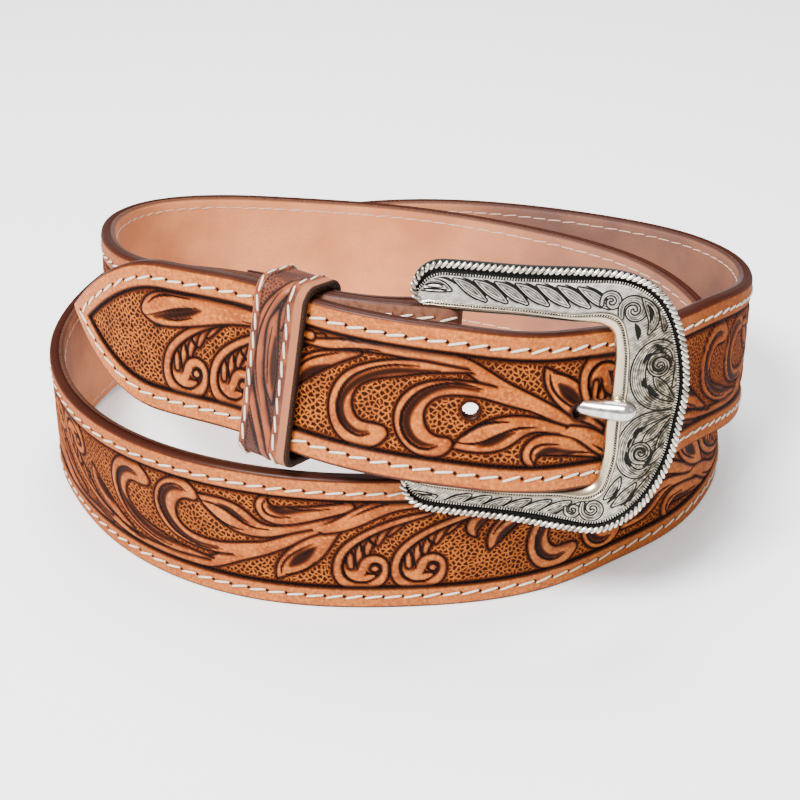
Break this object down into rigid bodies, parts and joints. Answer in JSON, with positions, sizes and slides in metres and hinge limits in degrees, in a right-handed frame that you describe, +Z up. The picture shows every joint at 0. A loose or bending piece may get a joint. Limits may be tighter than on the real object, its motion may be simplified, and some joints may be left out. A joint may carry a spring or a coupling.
{
  "type": "western belt",
  "caption": "Fastened western dress belt of tooled leather, coiled in two turns on its edge, with a keeper loop and an engraved buckle.",
  "frame": {"origin": "middle of the underside of the whole belt's bounding box, on the surface that it rests on", "axes": "+Z up across the strap's width, -Y towards the buckle's face, +X towards the side where the tip points on from the buckle"},
  "size_m": [0.1952, 0.1737, 0.0908],
  "materials": {
    "tooled_leather": "tan leather with carved scrolls, dark in the cuts, satin",
    "lining_leather": "plain pinkish tan leather, matt",
    "keeper_leather": "reddish brown tooled leather, satin",
    "buckle_silver": "antiqued silver with engraved scrolls, dark in the cuts",
    "tongue_silver": "plain bright silver"
  },
  "bodies": {
    "root": {"strap_outer": "tooled_leather", "strap_lining": "lining_leather", "keeper_loop": "keeper_leather", "buckle_frame": "buckle_silver", "buckle_tongue": "tongue_silver"}
  },
  "joints": []
}
